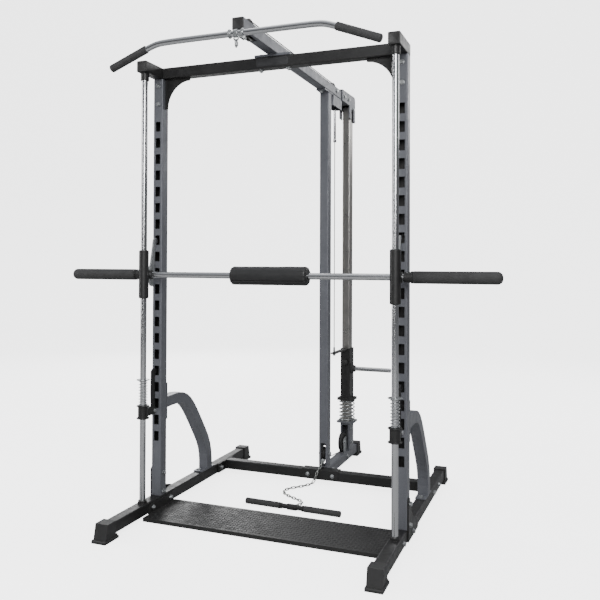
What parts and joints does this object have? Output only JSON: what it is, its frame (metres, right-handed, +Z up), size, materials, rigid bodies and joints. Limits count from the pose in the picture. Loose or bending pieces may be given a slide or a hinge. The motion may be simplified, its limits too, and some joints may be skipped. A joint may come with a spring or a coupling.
{
  "type": "smith machine",
  "caption": "Smith machine frame: slotted uprights, a padded bar on guide rods with twist hooks and safety stops, and a plate-loaded tower with a pulldown bar and a low row bar",
  "frame": {"origin": "centre of the footprint's box, on the floor", "axes": "+Z up, -Y the side a person walks in from, +Y the pulldown tower, +X to the right as seen from the front"},
  "size_m": [1.98, 1.762, 2.1544],
  "materials": {
    "grey_paint": "blue-grey metallic powder coat",
    "black_paint": "satin black powder coat",
    "tread": "black powder coat over a raised diamond pattern",
    "chrome": "bright chrome plate",
    "zinc": "dull zinc plate",
    "rubber": "matt moulded rubber",
    "plastic": "matt black moulded plastic",
    "vinyl": "black grained vinyl over foam"
  },
  "bodies": {
    "frame": {"base_rail_left": "black_paint", "base_rail_right": "black_paint", "front_foot_left": "plastic", "front_foot_right": "plastic", "rear_foot_left": "plastic", "rear_foot_right": "plastic", "tower_foot": "plastic", "crossmember": "black_paint", "tread_plate": "tread", "upright_left": "grey_paint", "upright_right": "grey_paint", "gusset_left": "black_paint", "gusset_right": "black_paint", "brace_left": "grey_paint", "brace_right": "grey_paint", "guide_rod_left": "chrome", "guide_rod_right": "chrome", "top_arm_left": "black_paint", "top_arm_right": "black_paint", "crossbar": "black_paint", "top_beam": "grey_paint", "tower_upright": "grey_paint", "base_beam": "grey_paint", "column_post": "grey_paint", "column_bracket": "grey_paint", "guide_column": "chrome", "low_pulley_bracket": "zinc", "bumper_spring": "zinc", "cable_top": "plastic", "cable_front": "plastic", "cable_rear": "plastic", "cable_low": "plastic", "chain": "zinc"},
    "bar_carriage": {"housing_left": "black_paint", "housing_right": "black_paint"},
    "smith_bar": {"smith_bar": "chrome", "bar_pad": "vinyl", "bar_sleeve_left": "rubber", "bar_sleeve_right": "rubber", "bar_hook_left": "zinc", "bar_hook_right": "zinc"},
    "left_stop": {"stop_block_left": "black_paint", "stop_spring_left": "zinc"},
    "right_stop": {"stop_block_right": "black_paint", "stop_spring_right": "zinc"},
    "left_latch": {"stop_latch_left": "black_paint"},
    "right_latch": {"stop_latch_right": "black_paint"},
    "weight_carriage": {"carriage": "black_paint", "plate_peg": "chrome", "peg_collar": "rubber", "carriage_knob": "plastic"},
    "pulldown_bar": {"lat_bar": "chrome", "lat_grip_left": "rubber", "lat_grip_right": "rubber", "lat_clip": "zinc"},
    "front_pulley": {"front_pulley": "plastic"},
    "rear_pulley": {"rear_pulley": "plastic"},
    "low_front_pulley": {"low_front_pulley": "plastic"},
    "low_rear_pulley": {"low_rear_pulley": "plastic"},
    "row_bar": {"row_bar": "plastic"}
  },
  "joints": [
    {"name": "bar_slide", "type": "slide", "parent": "frame", "child": "bar_carriage", "axis": [0, 0, 1], "range_m": [-0.2286, 0.5334]},
    {"name": "bar_twist", "type": "hinge", "parent": "bar_carriage", "child": "smith_bar", "pos_m": [0, -0.529, 1.101], "axis": [1, 0, 0], "range_deg": [-5, 18]},
    {"name": "left_stop_slide", "type": "slide", "parent": "frame", "child": "left_stop", "axis": [0, 0, 1], "range_m": [-0.0762, 0.2286]},
    {"name": "right_stop_slide", "type": "slide", "parent": "frame", "child": "right_stop", "axis": [0, 0, 1], "range_m": [-0.0762, 0.2286]},
    {"name": "left_latch_pivot", "type": "hinge", "parent": "left_stop", "child": "left_latch", "pos_m": [-0.581, -0.481, 0.472], "axis": [1, 0, 0], "range_deg": [-5, 7]},
    {"name": "right_latch_pivot", "type": "hinge", "parent": "right_stop", "child": "right_latch", "pos_m": [0.581, -0.481, 0.472], "axis": [1, 0, 0], "range_deg": [-5, 7]},
    {"name": "weight_lift", "type": "slide", "parent": "frame", "child": "weight_carriage", "axis": [0, 0, 1], "range_m": [0, 1.1], "deforming": ["cable_rear"]},
    {"name": "pulldown", "type": "slide", "parent": "frame", "child": "pulldown_bar", "axis": [0, 0, -1], "range_m": [0, 1.1], "deforming": ["cable_front"]},
    {"name": "row_pull", "type": "slide", "parent": "frame", "child": "row_bar", "axis": [0, -0.8, 0.6], "range_m": [0, 0.2]},
    {"name": "front_pulley_spin", "type": "hinge", "parent": "frame", "child": "front_pulley", "pos_m": [0, -0.691, 2.108], "axis": [1, 0, 0], "range_deg": [0, 1560]},
    {"name": "rear_pulley_spin", "type": "hinge", "parent": "frame", "child": "rear_pulley", "pos_m": [0, 0.394, 2.108], "axis": [1, 0, 0], "range_deg": [0, 1560]},
    {"name": "low_front_pulley_spin", "type": "hinge", "parent": "frame", "child": "low_front_pulley", "pos_m": [0, 0.287, 0.14], "axis": [1, 0, 0], "continuous": true},
    {"name": "low_rear_pulley_spin", "type": "hinge", "parent": "frame", "child": "low_rear_pulley", "pos_m": [0, 0.587, 0.132], "axis": [1, 0, 0], "continuous": true}
  ],
  "couplings": [
    {"joint": "pulldown", "follows": "weight_lift", "ratio": 1},
    {"joint": "front_pulley_spin", "follows": "weight_lift", "rad_per_m": 24.691},
    {"joint": "rear_pulley_spin", "follows": "weight_lift", "rad_per_m": 24.691}
  ]
}
